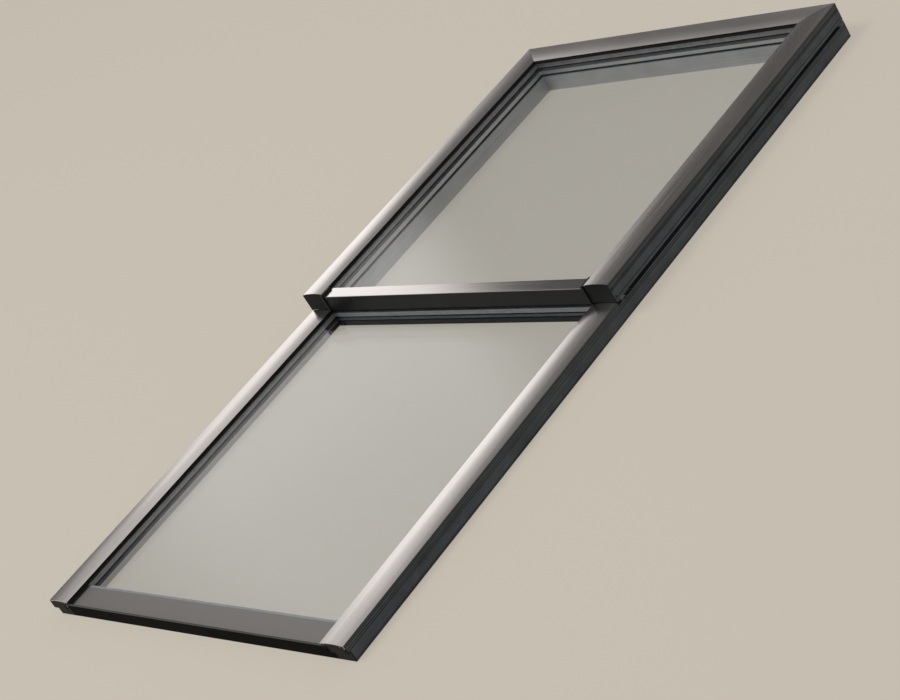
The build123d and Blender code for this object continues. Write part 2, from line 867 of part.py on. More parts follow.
with BuildPart() as wiper_seal:
    # A bulb that wipes the lower pane as the sash slides
    bulb_z = lower_glass_top + fit_gap + wiper_radius
    with BuildSketch(Plane.YZ):
        with Locations((y_meet + 6, bulb_z)):
            Circle(wiper_radius)
            Circle(wiper_radius - 1.5, mode=Mode.SUBTRACT)
        Polygon(from_meeting(rect(4, bulb_z + wiper_radius - 1, 8, meeting_bottom)))
    extrude(amount=meeting_half - 2, both=True)

# Sash glazing
sash_pane_start = y_meet + meeting_glass_start
sash_pane_end = y_top - rail_width - edge_gap
sash_inner_z = sash_ledge_top + bedding
sash_outer_pane = pane(
    glass_half, sash_pane_start, sash_pane_end, sash_glass_top - outer_glass, outer_glass
)
sash_inner_pane = pane(glass_half, sash_pane_start, sash_pane_end, sash_inner_z, inner_glass)
sash_spacer_bar = spacer_ring(sash_pane_start, sash_pane_end, sash_inner_z + inner_glass)

sash_side_strip = side_bar(
    rect(strip_low, sash_ledge_top, strip_high, sash_inner_z),
    sash_pane_start + 1,
    sash_pane_end - 1,
)
with BuildPart() as sash_bedding_strips:
    add(sash_side_strip.part)
    mirror(sash_side_strip.part, about=Plane.YZ)
    with BuildSketch(Plane.YZ):
        Polygon(from_top(rect(strip_low, sash_ledge_top, strip_high, sash_inner_z)))
        Polygon(
            from_meeting(
                rect(
                    meeting_glass_start + 4, sash_ledge_top, meeting_glass_start + 16, sash_inner_z
                )
            )
        )
    extrude(amount=strip_half - end_plate_thickness, both=True)

sash_side_gasket = side_bar(
    gasket_section(sash_glass_top),
    y_meet + end_plate_back + fit_gap,
    y_top - frame_width - nose_width - fit_gap,
)
with BuildPart() as sash_gaskets:
    add(sash_side_gasket.part)
    mirror(sash_side_gasket.part, about=Plane.YZ)
    with BuildSketch(Plane.YZ):
        Polygon(from_top(gasket_section(sash_glass_top)))
    extrude(amount=inner_half + 2.5, both=True)

sash_plate_z = sash_glass_top + gasket_thickness
sash_plate_start = y_meet + meeting_depth + fit_gap
sash_plate_end = y_top - plate_inset
with BuildPart() as sash_side_plate:
    with BuildSketch(Plane.XZ.offset(-sash_plate_end)):
        Polygon(from_side(plate_section(sash_glass_top)))
    extrude(amount=sash_plate_end - sash_plate_start)
    with BuildSketch(Plane.XY.offset(sash_plate_z)):
        with Locations((half_width - screw_depth, sash_screw_y)):
            with GridLocations(1, screw_pitch, 1, screw_rows):
                RegularPolygon(screw_radius + screw_hole_play, screw_facets)
    extrude(amount=plate_thickness, mode=Mode.SUBTRACT)
with BuildPart() as sash_head_plate:
    with BuildSketch(Plane.YZ):
        Polygon(from_top(plate_section(sash_glass_top)))
    extrude(amount=inner_half + 2.5, both=True)
    with BuildSketch(Plane.XY.offset(sash_plate_z)):
        with Locations((0, y_top - screw_depth)):
            with GridLocations(screw_pitch, 1, 4, 1):
                RegularPolygon(screw_radius + screw_hole_play, screw_facets)
    extrude(amount=plate_thickness, mode=Mode.SUBTRACT)
with BuildPart() as sash_pressure_plates:
    add(sash_side_plate.part)
    mirror(sash_side_plate.part, about=Plane.YZ)
    add(sash_head_plate.part)

# Sash covers, mitred at the two top corners
sash_cover_edge = cover_edge + sash_lift
mitre_right = Plane(origin=(half_width, y_top, 0), z_dir=(1, -1, 0))
mitre_left = Plane(origin=(-half_width, y_top, 0), z_dir=(-1, -1, 0))
straight_side_cover = cover_bar(
    from_side, Plane.XZ.offset(-y_top), y_top - sash_start, sash_cover_edge
)
straight_head_cover = cover_bar(from_top, Plane.YZ, half_width, sash_cover_edge, both=True)
with BuildPart() as sash_cover_right:
    add(straight_side_cover.part)
    split(bisect_by=mitre_right, keep=Keep.TOP)
sash_cover_left = mirrored(sash_cover_right)
with BuildPart() as sash_cover_head:
    add(straight_head_cover.part)
    split(bisect_by=mitre_right, keep=Keep.BOTTOM)
    split(bisect_by=mitre_left, keep=Keep.BOTTOM)

# Ends of the sash's side rails and of the meeting rail
cap_low = [(0, sash_skirt), (frame_width / 2, sash_skirt + crown_rise), (frame_width, sash_skirt)]
cap_high = [
    (frame_width, sash_cover_edge),
    (frame_width / 2, sash_cover_edge + crown_rise),
    (0, sash_cover_edge),
]
with BuildPart() as end_cap_right:
    with BuildSketch(Plane.XZ.offset(-sash_start)):
        with BuildLine():
            ThreePointArc(*from_side(cap_low))
            Line(*from_side([cap_low[2], cap_high[0]]))
            ThreePointArc(*from_side(cap_high))
            Line(*from_side([cap_high[2], cap_low[0]]))
        make_face()
    extrude(amount=end_cap_thickness)
end_cap_left = mirrored(end_cap_right)

plate_x0 = inner_half - end_plate_thickness
plate_x1 = inner_half - fit_gap
with BuildPart() as end_plate_right:
    with BuildSketch(Plane.YZ.offset(plate_x0)):
        Polygon(
            from_meeting(
                rect(
                    -end_plate_front,
                    meeting_bottom - 2,
                    end_plate_back,
                    sash_cover_edge,
                )
            )
        )
        # The glazing passes behind the meeting rail's front box
        Polygon(
            from_meeting(
                rect(
                    meeting_glass_start - 1,
                    sash_ledge_top,
                    end_plate_back,
                    sash_glass_top + fit_gap,
                )
            ),
            mode=Mode.SUBTRACT,
        )
    extrude(amount=plate_x1 - plate_x0)
end_plate_left = mirrored(end_plate_right)

with BuildPart() as sash_screws:
    for side in (-1, 1):
        with Locations((side * (half_width - screw_depth), sash_screw_y)):
            with GridLocations(1, screw_pitch, 1, screw_rows):
                add(plate_screw(sash_plate_z + plate_thickness))
    with Locations((0, y_top - screw_depth)):
        with GridLocations(screw_pitch, 1, 4, 1):
            add(plate_screw(sash_plate_z + plate_thickness))

# Roller carriages inside the sash's side rails
carriage_top = sash_rail_top - wall
cheek_inner = roller_width / 2 + cheek_gap
cheek_outer = cheek_inner + cheek_thickness
with BuildPart() as carriage:
    # A folded strap: two cheeks with cut corners under a flange
    with BuildSketch(Plane.YZ.offset(roller_x - cheek_outer)):
        Polygon(
            [
                (-carriage_foot, roller_z),
                (-carriage_foot / 2, roller_z - carriage_foot),
                (carriage_foot / 2, roller_z - carriage_foot),
                (carriage_foot, roller_z),
                (carriage_half, carriage_top),
                (-carriage_half, carriage_top),
            ]
        )
        with Locations((0, roller_z)):
            Circle(axle_radius + running_clearance, mode=Mode.SUBTRACT)
    extrude(amount=2 * cheek_outer)
    with BuildSketch(Plane.YZ.offset(roller_x - cheek_inner)):
        Polygon(
            [
                (-2 * carriage_half, roller_z - roller_radius),
                (2 * carriage_half, roller_z - roller_radius),
                (2 * carriage_half, carriage_top - cheek_thickness),
                (-2 * carriage_half, carriage_top - cheek_thickness),
            ]
        )
    extrude(amount=2 * cheek_inner, mode=Mode.SUBTRACT)

with BuildPart() as axle:
    with BuildSketch(Plane.YZ.offset(roller_x - cheek_outer - axle_end)):
        with Locations((0, roller_z)):
            Circle(axle_radius)
    extrude(amount=2 * (cheek_outer + axle_end))

with BuildPart() as wheel:
    # A moulded wheel: a flat tread between two bevels, with a bore for the axle
    with BuildSketch(Plane.XY):
        Polygon(
            [
                (-roller_width / 2, axle_radius + running_clearance),
                (roller_width / 2, axle_radius + running_clearance),
                (roller_width / 2, roller_radius - roller_bevel),
                (roller_width / 2 - roller_bevel, roller_radius),
                (-roller_width / 2 + roller_bevel, roller_radius),
                (-roller_width / 2, roller_radius - roller_bevel),
            ]
        )
    revolve(axis=Axis.X)

roller_places = {
    "front_left": (-roller_x, front_roller_y),
    "front_right": (roller_x, front_roller_y),
    "rear_left": (-roller_x, rear_roller_y),
    "rear_right": (roller_x, rear_roller_y),
}


def at_rollers(piece, z):
    """The piece, made on the right-hand roller's line, repeated at all four rollers."""
    with BuildPart() as group:
        for x, y in roller_places.values():
            with Locations((x - roller_x, y, z)):
                add(piece.part)
    return group


roller_carriages = at_rollers(carriage, 0)
roller_axles = at_rollers(axle, 0)


def roller_at(x, y):
    """One roller on its axle."""
    with BuildPart() as roller:
        with Locations((x, y, roller_z)):
            add(wheel.part)
    return roller


# Racks, with their teeth down, on the web inside each side rail of the sash
first_tooth = -2
last_tooth = round(travel / tooth_pitch) + 3
half_tip = tooth_pitch / 4 - tooth_thinning / 2 - addendum * tan(radians(pressure_angle))
half_root = tooth_pitch / 4 - tooth_thinning / 2 + dedendum * tan(radians(pressure_angle))
tip_line = pitch_line - addendum
root_line = pitch_line + dedendum
rack_outline = []
for tooth in range(first_tooth, last_tooth + 1):
    middle = shaft_y + tooth * tooth_pitch
    rack_outline += [
        (middle - half_root, root_line),
        (middle - half_tip, tip_line),
        (middle + half_tip, tip_line),
        (middle + half_root, root_line),
    ]
rack_outline += [(rack_outline[-1][0] + 1, root_line), (rack_outline[-1][0] + 1, web_z)]
rack_outline += [(rack_outline[0][0] - 1, web_z), (rack_outline[0][0] - 1, root_line)]
with BuildPart() as rack_right:
    with BuildSketch(Plane.YZ.offset(half_width - rack_depth - rack_width)):
        Polygon(rack_outline)
    extrude(amount=rack_width)
rack_left = mirrored(rack_right)

pieces = {
    "base_left_rail": base_left_rail,
    "base_right_rail": base_right_rail,
    "base_head_rail": base_head_rail,
    "base_sill_rail": base_sill_rail,
    "base_transom": base_transom,
    "transom_brackets": transom_brackets,
    "rail_end_caps": rail_end_caps,
    "lower_outer_pane": lower_outer_pane,
    "lower_inner_pane": lower_inner_pane,
    "lower_spacer_bar": lower_spacer_bar,
    "lower_bedding_strips": lower_bedding_strips,
    "setting_blocks": setting_blocks,
    "lower_gaskets": lower_gaskets,
    "pressure_plate_left": pressure_plate_left,
    "pressure_plate_right": pressure_plate_right,
    "pressure_plate_screws": pressure_plate_screws,
    "lower_cover_left": lower_cover_left,
    "lower_cover_right": lower_cover_right,
    "running_track_left": running_track_left,
    "running_track_right": running_track_right,
    "reveal_liner_left": reveal_liner_left,
    "reveal_liner_right": reveal_liner_right,
    "reveal_liner_head": reveal_liner_head,
    "brush_seals": brush_seals,
    "head_weather_bar": head_weather_bar,
    "gear_motor": gear_motor,
    "shaft_bearings": shaft_bearings,
    "cross_shaft": cross_shaft,
    "pinion_left": pinion_left,
    "pinion_right": pinion_right,
    "sash_left_rail": sash_left_rail,
    "sash_right_rail": sash_right_rail,
    "sash_head_rail": sash_head_rail,
    "meeting_rail": meeting_rail,
    "meeting_rail_cap": meeting_rail_cap,
    "wiper_seal": wiper_seal,
    "sash_outer_pane": sash_outer_pane,
    "sash_inner_pane": sash_inner_pane,
    "sash_spacer_bar": sash_spacer_bar,
    "sash_bedding_strips": sash_bedding_strips,
    "sash_gaskets": sash_gaskets,
    "sash_pressure_plates": sash_pressure_plates,
    "sash_screws": sash_screws,
    "sash_cover_left": sash_cover_left,
    "sash_cover_right": sash_cover_right,
    "sash_cover_head": sash_cover_head,
    "end_cap_left": end_cap_left,
    "end_cap_right": end_cap_right,
    "end_plate_left": end_plate_left,
    "end_plate_right": end_plate_right,
    "roller_carriages": roller_carriages,
    "roller_axles": roller_axles,
    "rack_left": rack_left,
    "rack_right": rack_right,
}
for place, (x, y) in roller_places.items():
    pieces[place + "_roller"] = roller_at(x, y)

os.makedirs("parts", exist_ok=True)
for name, piece in pieces.items():
    piece.part.label = name
    export_step(piece.part, f"parts/{name}.step")
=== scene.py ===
# %% [markdown]
# # A sliding roof skylight, dressed for its picture
# The part lies flat on its underside: X runs across, Y up the slope and Z out of the roof.
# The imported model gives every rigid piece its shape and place. This lesson gives each piece
# the finish of the real one, adds the small things that are too fine for the model (enamel
# border, closing caps, perforated spacers, brush bristles, screws) and sets up the light and
# the camera.

import bmesh
import bpy
import numpy as np
from mathutils import Matrix, Vector


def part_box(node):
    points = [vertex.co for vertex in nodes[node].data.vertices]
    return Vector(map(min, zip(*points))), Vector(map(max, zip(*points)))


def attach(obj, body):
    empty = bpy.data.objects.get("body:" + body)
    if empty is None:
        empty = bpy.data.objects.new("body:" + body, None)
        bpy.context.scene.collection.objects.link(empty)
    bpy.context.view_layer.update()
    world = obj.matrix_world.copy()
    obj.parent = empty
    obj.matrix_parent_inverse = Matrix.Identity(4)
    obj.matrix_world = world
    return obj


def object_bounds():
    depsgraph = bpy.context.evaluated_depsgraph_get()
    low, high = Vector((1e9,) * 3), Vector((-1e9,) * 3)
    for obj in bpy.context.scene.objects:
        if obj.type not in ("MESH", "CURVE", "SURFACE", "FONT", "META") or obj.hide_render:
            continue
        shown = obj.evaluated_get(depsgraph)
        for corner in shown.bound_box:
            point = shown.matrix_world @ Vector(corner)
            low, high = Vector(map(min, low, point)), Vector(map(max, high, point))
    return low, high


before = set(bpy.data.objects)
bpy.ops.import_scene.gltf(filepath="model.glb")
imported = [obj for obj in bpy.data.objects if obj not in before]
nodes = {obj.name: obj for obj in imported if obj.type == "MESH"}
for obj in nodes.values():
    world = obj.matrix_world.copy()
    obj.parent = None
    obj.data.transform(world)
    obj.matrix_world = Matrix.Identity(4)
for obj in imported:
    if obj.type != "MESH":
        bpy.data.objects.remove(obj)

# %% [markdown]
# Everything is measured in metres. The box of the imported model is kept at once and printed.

MM = 0.001
cad_box = [list(corner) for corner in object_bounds()]
print("nodes", len(nodes), "box", cad_box)

# %% [markdown]
# ## Helpers for finishes
# Colours are written as sRGB hex values, the way a paint chart gives them. The shaders
# calculate in linear light, so one function turns hex into linear values.

# %% Colour
def linear(hex_value):
    """sRGB hex to linear: c/12.92 below 0.04045, else ((c + 0.055)/1.055)^2.4."""
    srgb = np.array([int(hex_value[i:i + 2], 16) for i in (0, 2, 4)]) / 255
    low, high = srgb / 12.92, ((srgb + 0.055) / 1.055) ** 2.4
    return (*np.where(srgb <= 0.04045, low, high), 1.0)


print("mid grey", linear("808080"))

# %% [markdown]
# A material is a graph of nodes. One helper adds a node, sets what it is told and links its
# inputs, so each finish below reads as a short list of steps. The dome of light at the end is
# such a graph too and uses the same helper.

# %% Node helper
def adder(tree):
    """The function that adds nodes to one tree."""
    def node(kind, settings=None, stops=(), **inputs):
        """Add a node: settings are its properties, inputs are values or sockets to link.

        An input goes by its name, with _ for a space, or by its number as i0, i1 and so on.
        The stops of a colour ramp are pairs of a position and a hex colour.
        """
        new = tree.nodes.new("ShaderNode" + kind)
        for key, value in (settings or {}).items():
            setattr(new, key, value)
        for number, (position, colour) in enumerate(stops):
            stop = new.color_ramp.elements[number]
            stop.position, stop.color = position, linear(colour)
        for key, value in inputs.items():
            numbered = key[1:].isdigit()
            socket = new.inputs[int(key[1:]) if numbered else key.replace("_", " ")]
            if isinstance(value, bpy.types.NodeSocket):
                tree.links.new(value, socket)
            else:
                socket.default_value = value
        return new

    return node


def material(name):
    """A new material: the function that adds its nodes, and the one that ends it."""
    made = bpy.data.materials.new(name)
    made.use_nodes = True
    made.node_tree.nodes.clear()
    node = adder(made.node_tree)

    def finish(shader):
        """Send the last shader to the output."""
        node("OutputMaterial", Surface=shader.outputs[0])
        return made

    return node, finish


print("helpers ready")

# %% [markdown]
# The frame goes round an opening, and its faces that look into the opening are finished in
# another way than the outer ones. A shader can tell them apart: it compares the way a face
# looks with where it is.

# %% Faces that look into the opening
FACING = 0.8  # a face looks along an axis where its normal has more than this share of it


def inward(node, place):
    """1 where a face looks towards the middle of the opening, 0 elsewhere.

    A side face does when x and its normal's x have opposite signs, a head or sill face when
    its y and its normal's y have.
    """
    at = node("SeparateXYZ", Vector=place.outputs["Object"])
    looks = node("SeparateXYZ", Vector=place.outputs["Normal"])
    found = []
    for axis in ("X", "Y"):
        side = node("Math", {"operation": "SIGN"}, i0=at.outputs[axis]).outputs[0]
        turned = node("Math", {"operation": "MULTIPLY"}, i0=side, i1=looks.outputs[axis])
        found.append(
            node("Math", {"operation": "LESS_THAN"}, i0=turned.outputs[0], i1=-FACING).outputs[0]
        )
    return node("Math", {"operation": "MAXIMUM"}, i0=found[0], i1=found[1]).outputs[0]


print("inward ready")

# %% [markdown]
# ## Brushed covers
# The covers are clear anodised aluminium, brushed along their length. Brushing leaves fine
# parallel scratches, so the highlight spreads across the scratches and the cover changes
# from near white to dark grey along its run. The scratch pattern is noise stretched a few
# hundred times along the length. Its grit is drawn at about 2 mm so that it shows in the
# picture; the real one is finer than 0.2 mm. The shader's tangent runs along the scratches, so
# that the highlight is spread across them. Only the domed top is brushed: the outer lips
# keep the slate finish of the rails, and the inner ones are painted near black as painted
# shade, for the shadow that falls on them beside the black gasket, so the shader picks by how
# far a face leans over.

# %% Brushed aluminium
GRAIN = {"x": (2.0, 500.0, 500.0), "y": (500.0, 2.0, 500.0)}


def brushed_aluminium(name, along, light, dark, lip_axis, smooth, coarse, stretch=0.8):
    """Anodised aluminium brushed along one axis, with slate lips facing along lip_axis.

    The roughness runs from smooth to coarse with the scratches, and stretch is how much
    more the highlight spreads across them than along them.
    """
    node, finish = material(name)
    place = node("TexCoord")
    at, looks = place.outputs["Object"], place.outputs["Normal"]
    lines = node("Mapping", Vector=at, Scale=GRAIN[along]).outputs["Vector"]
    streak = node("TexNoise", Vector=lines, Scale=1.0, Detail=3.0, Roughness=0.6).outputs["Fac"]
    cloud = node("TexNoise", Vector=at, Scale=2.2, Detail=2.0).outputs["Fac"]
    colour = node("ValToRGB", stops=((0.3, dark), (0.7, light)), Fac=streak).outputs["Color"]
    tint = node("ValToRGB", stops=((0.35, "F2F1F0"), (0.65, "FFFFFF")), Fac=cloud)
    mixed = node(
        "Mix", {"data_type": "RGBA", "blend_type": "MULTIPLY"},
        i0=1.0, i6=colour, i7=tint.outputs["Color"],
    )
    rough = node("MapRange", Value=streak, i1=0.3, i2=0.7, i3=smooth, i4=coarse)
    height = node("Bump", Height=streak, Strength=0.2, Distance=0.0001).outputs["Normal"]
    scratches = node("CombineXYZ", **{along.upper(): 1.0}).outputs[0]
    metal = node(
        "BsdfPrincipled", Metallic=1.0, Roughness=rough.outputs["Result"], Normal=height,
        Base_Color=mixed.outputs[2], Anisotropic=stretch, Tangent=scratches,
    )
    lip_colour = node("ValToRGB", stops=((0.3, "303337"), (0.7, "43474B")), Fac=streak)
    lip = node(
        "BsdfPrincipled", Metallic=0.55, Roughness=0.4, Base_Color=lip_colour.outputs["Color"]
    )
    # The inner lips are painted near black: painted shade for the shadow beside the gasket.
    painted_lip_shade_colour = node("ValToRGB", stops=((0.3, "060606"), (0.7, "0D0D0D")), Fac=streak)
    painted_lip_shade = node(
        "BsdfPrincipled", Roughness=0.7, Base_Color=painted_lip_shade_colour.outputs["Color"],
        Specular_IOR_Level=0.1,
    )
    shaded_lip_mask = inward(node, place)
    lip = node("MixShader", i0=shaded_lip_mask, i1=lip.outputs[0], i2=painted_lip_shade.outputs[0])
    sideways = node("SeparateXYZ", Vector=looks).outputs[lip_axis]
    leaning = node("Math", {"operation": "ABSOLUTE"}, i0=sideways).outputs[0]
    is_lip = node("Math", {"operation": "GREATER_THAN"}, i0=leaning, i1=FACING).outputs[0]
    return finish(node("MixShader", i0=is_lip, i1=metal.outputs[0], i2=lip.outputs[0]))


cover_side = brushed_aluminium(
    "anodised_aluminium_brushed_lengthwise", "y", "ECE7E4", "D6D1CE", "X", 0.18, 0.24,
)
cover_across = brushed_aluminium(
    "anodised_aluminium_brushed_across", "x", "ECE7E4", "D6D1CE", "Y", 0.34, 0.4,
    stretch=0.0,
)
strip = brushed_aluminium(
    "anodised_aluminium_strip", "x", "E3E0DE", "D2CFCD", "Y", 0.1, 0.15,
)
print(cover_side.name, cover_across.name, strip.name)

# %% [markdown]
# ## Slate frame profiles
# The extruded rails are anodised a dark slate grey outside. The faces that look into the
# opening are a lighter grey, partly the inner colour of the real frame and partly painted
# light for the bright room they mirror, so that the room side stays bright. One finish serves
# both. Anodising keeps the faint die lines of the extrusion, so a weak streak is left in the
# roughness and the colour. The fine grooves are 1 mm deep; their floor, 1 mm inside the
# model's box, is painted darker: painted shade in the grooves.

# %% Dark anodised profile
GROOVE_DEPTH = 1 * MM
GROOVE_FLOORS = {"X": cad_box[1][0] - GROOVE_DEPTH, "Y": cad_box[1][1] - GROOVE_DEPTH}
PAINTED_GROOVE_SHADE = "111315"


def dark_profile(name, low, high, rough_low, rough_high, metallic=0.55, shine=0.5, inner_painted_light=None):
    """Satin anodised aluminium with faint die lines; if given, painted light inside and painted
    shade in grooves.
    """
    node, finish = material(name)
    coordinates = node("TexCoord")
    place = coordinates.outputs["Object"]
    lines = node("Mapping", Vector=place, Scale=(1.5, 1.5, 420.0)).outputs["Vector"]
    die = node("TexNoise", Vector=lines, Scale=1.0, Detail=2.0).outputs["Fac"]
    cloud = node("TexNoise", Vector=place, Scale=9.0, Detail=4.0, Roughness=0.7).outputs["Fac"]
    blend = node("Math", {"operation": "MULTIPLY"}, i0=die, i1=cloud).outputs[0]
    colour = node("ValToRGB", stops=((0.12, low), (0.4, high)), Fac=blend).outputs["Color"]
    # Faces that look into the opening get a lighter grey: painted light for the room they mirror.
    if inner_painted_light:
        stops = ((0.12, inner_painted_light[0]), (0.4, inner_painted_light[1]))
        painted_light_colour = node("ValToRGB", stops=stops, Fac=blend).outputs["Color"]
        painted_light_mask = inward(node, coordinates)
        mixed = node("Mix", {"data_type": "RGBA"}, i0=painted_light_mask, i6=colour, i7=painted_light_colour)
        colour = mixed.outputs[2]
        # The floors of the grooves are painted darker: painted shade in the recesses.
        at = node("SeparateXYZ", Vector=place)
        groove_shade_floors = []
        for axis, floor_at in GROOVE_FLOORS.items():
            reach = node("Math", {"operation": "ABSOLUTE"}, i0=at.outputs[axis]).outputs[0]
            groove_shade_floors.append(
                node("Math", {"operation": "COMPARE"}, i0=reach, i1=floor_at, i2=0.2 * MM)
            )
        painted_groove_shade_mask = node(
            "Math", {"operation": "MAXIMUM"}, i0=groove_shade_floors[0].outputs[0], i1=groove_shade_floors[1].outputs[0]
        )
        mixed = node(
            "Mix", {"data_type": "RGBA"}, i0=painted_groove_shade_mask.outputs[0], i6=colour, i7=linear(PAINTED_GROOVE_SHADE)
        )
        colour = mixed.outputs[2]
    rough = node("MapRange", Value=cloud, i1=0.3, i2=0.7, i3=rough_low, i4=rough_high)
    grain = node("TexNoise", Vector=place, Scale=1400.0, Detail=1.0).outputs["Fac"]
    height = node("Bump", Height=grain, Strength=0.06, Distance=0.0001).outputs["Normal"]
    metal = node(
        "BsdfPrincipled", Base_Color=colour, Metallic=metallic, Normal=height,
        Roughness=rough.outputs["Result"], Specular_IOR_Level=shine,
    )
    return finish(metal)


# The second pair of colours is painted light on the faces that look into the opening.
slate = dark_profile(
    "slate_anodised_profile", "363B42", "565D65", 0.34, 0.46, inner_painted_light=("C2C4C5", "DADBDB"),
)
reveal = dark_profile("grey_anodised_reveal", "BDBFC0", "DCDDDD", 0.28, 0.4, metallic=0.3)
sill_black = dark_profile(
    "matt_black_coated_sill", "070808", "0E0E0F", 0.6, 0.7, metallic=0.0, shine=0.04,
)
black_profile = dark_profile(
    "black_anodised_profile", "0E0F10", "1A1B1D", 0.4, 0.52, metallic=0.0, shine=0.25,
)
print(slate.name, reveal.name, black_profile.name, sill_black.name)

# %% [markdown]
# ## Plain metals
# Pressure plates and tracks are plain mill-finish extrusions, and the screws, axles, shaft,
# racks and pinions are zinc plated steel. Both are hidden most of the time; the steel has a
# faint mottled look from its plating.

# %% Mill aluminium and plated steel
def plain_metal(name, low, high, scale, rough_low, rough_high):
    """A bare metal whose colour and roughness vary with soft noise."""
    node, finish = material(name)
    place = node("TexCoord").outputs["Object"]
    mottle = node("TexNoise", Vector=place, Scale=scale, Detail=4.0, Roughness=0.6).outputs["Fac"]
    colour = node("ValToRGB", stops=((0.3, low), (0.7, high)), Fac=mottle).outputs["Color"]
    rough = node("MapRange", Value=mottle, i1=0.3, i2=0.7, i3=rough_low, i4=rough_high)
    metal = node(
        "BsdfPrincipled", Base_Color=colour, Metallic=1.0, Roughness=rough.outputs["Result"]
    )
    return finish(metal)


mill = plain_metal("mill_finish_aluminium", "A9A9A8", "C4C4C2", 40.0, 0.28, 0.42)
zinc = plain_metal("zinc_plated_steel", "9B9C9C", "C9CACB", 120.0, 0.22, 0.38)
print(mill.name, zinc.name)

# %% [markdown]
# ## Rubber and plastics
# Gaskets and seals are EPDM rubber: black, matt, with a bloom that greys it slightly. The end
# caps are moulded plastic with a fine spark texture, and the rollers are grey acetal.

# %% Rubber and moulded plastic
def moulded(name, low, high, grain, rough_low, rough_high, depth, shine=0.5):
    """A moulded surface: fine grain for the bump, slow noise for colour and roughness."""
    node, finish = material(name)
    place = node("TexCoord").outputs["Object"]
    cloud = node("TexNoise", Vector=place, Scale=25.0, Detail=3.0).outputs["Fac"]
    spark = node("TexNoise", Vector=place, Scale=grain, Detail=2.0).outputs["Fac"]
    colour = node("ValToRGB", stops=((0.35, low), (0.65, high)), Fac=cloud).outputs["Color"]
    rough = node("MapRange", Value=cloud, i1=0.3, i2=0.7, i3=rough_low, i4=rough_high)
    height = node("Bump", Height=spark, Strength=0.25, Distance=depth).outputs["Normal"]
    body = node(
        "BsdfPrincipled", Base_Color=colour, Roughness=rough.outputs["Result"], Normal=height,
        Specular_IOR_Level=shine,
    )
    return finish(body)


rubber = moulded("black_epdm_rubber", "090909", "121212", 900.0, 0.6, 0.75, 0.0001, shine=0.15)
cap_plastic = moulded(
    "black_moulded_plastic", "101112", "181919", 700.0, 0.48, 0.6, 0.00015, shine=0.14,
)
bedding = moulded("grey_silicone_bedding", "66686A", "77797B", 500.0, 0.5, 0.6, 0.0001)
acetal = moulded("grey_acetal_roller", "8C8D8D", "A2A3A2", 500.0, 0.35, 0.45, 0.0001)
print(rubber.name, cap_plastic.name, bedding.name, acetal.name)

# %% [markdown]
# The spacer bar of a double glazing is a hollow grey profile filled with drying beads. The
# faces that look into the cavity have a row of slits so that the beads can dry the gas: a
# slit 2 mm long every 5 mm. The bars run along X or along Y, so the sum of x and y counts
# along all of them. The slits are drawn 0.8 mm high, halfway up the bar, as dark marks:
# painted shade for the holes.

# %% Perforated spacer
SLITS_PER_METRE = 200.0
SLIT_SHARE = 0.4
SLIT_HALF_HEIGHT = 0.4 * MM


def perforated_spacer(name, low, high, middles):
    """Satin grey bar with slits painted dark as painted shade: a slit where the fraction of
    (x + y)/5 mm is under 0.4 and z is within 0.4 mm of a bar's middle height."""
    node, finish = material(name)
    place = node("TexCoord").outputs["Object"]
    cloud = node("TexNoise", Vector=place, Scale=60.0, Detail=3.0).outputs["Fac"]
    body = node("ValToRGB", stops=((0.35, low), (0.65, high)), Fac=cloud).outputs["Color"]
    at = node("SeparateXYZ", Vector=place)
    total = node("Math", {"operation": "ADD"}, i0=at.outputs["X"], i1=at.outputs["Y"])
    steps = node(
        "Math", {"operation": "MULTIPLY"}, i0=total.outputs[0], i1=SLITS_PER_METRE
    ).outputs[0]
    part = node("Math", {"operation": "FRACT"}, i0=steps).outputs[0]
    slit = node("Math", {"operation": "LESS_THAN"}, i0=part, i1=SLIT_SHARE).outputs[0]
    rows = []
    for middle in middles:
        off = node("Math", {"operation": "SUBTRACT"}, i0=at.outputs["Z"], i1=middle).outputs[0]
        near = node("Math", {"operation": "ABSOLUTE"}, i0=off).outputs[0]
        within = node("Math", {"operation": "LESS_THAN"}, i0=near, i1=SLIT_HALF_HEIGHT)
        rows.append(within.outputs[0])
    row = node("Math", {"operation": "MAXIMUM"}, i0=rows[0], i1=rows[1]).outputs[0]
    painted_slit_shade = node("Math", {"operation": "MULTIPLY"}, i0=slit, i1=row).outputs[0]
    # Each slit is painted near black: painted shade in the hole.
    colour = node("Mix", {"data_type": "RGBA"}, i0=painted_slit_shade, i6=body, i7=linear("0C0C0D")).outputs[2]
    rough = node("MapRange", Value=cloud, i1=0.3, i2=0.7, i3=0.4, i4=0.5).outputs["Result"]
    return finish(node("BsdfPrincipled", Base_Color=colour, Metallic=0.2, Roughness=rough))


middle_heights = []
for bar in ("lower_spacer_bar", "sash_spacer_bar"):
    low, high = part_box(bar)
    middle_heights.append((low.z + high.z) / 2)
spacer = perforated_spacer("grey_perforated_spacer", "9A9C9D", "ABADAE", middle_heights)
print(spacer.name, [round(v / MM, 1) for v in middle_heights])

# %% [markdown]
# A brush seal is a strip of fine upright polypropylene pile. Modelling every fibre would take
# millions of faces, so the pile is a colour and a bump that change quickly along the strip and
# hardly at all in height, 0.3 mm from fibre to fibre.

# %% Brush pile
node, finish = material("black_brush_pile")
place = node("TexCoord").outputs["Object"]
fibres = node("Mapping", Vector=place, Scale=(3300.0, 3300.0, 60.0)).outputs["Vector"]
fibre = node("TexNoise", Vector=fibres, Scale=1.0, Detail=2.0).outputs["Fac"]
height = node("Bump", Height=fibre, Strength=0.6, Distance=0.0002).outputs["Normal"]
colour = node("ValToRGB", stops=((0.35, "0B0B0B"), (0.65, "2A2A2B")), Fac=fibre)
pile = finish(
    node("BsdfPrincipled", Base_Color=colour.outputs["Color"], Roughness=0.8, Normal=height)
)
print(pile.name)

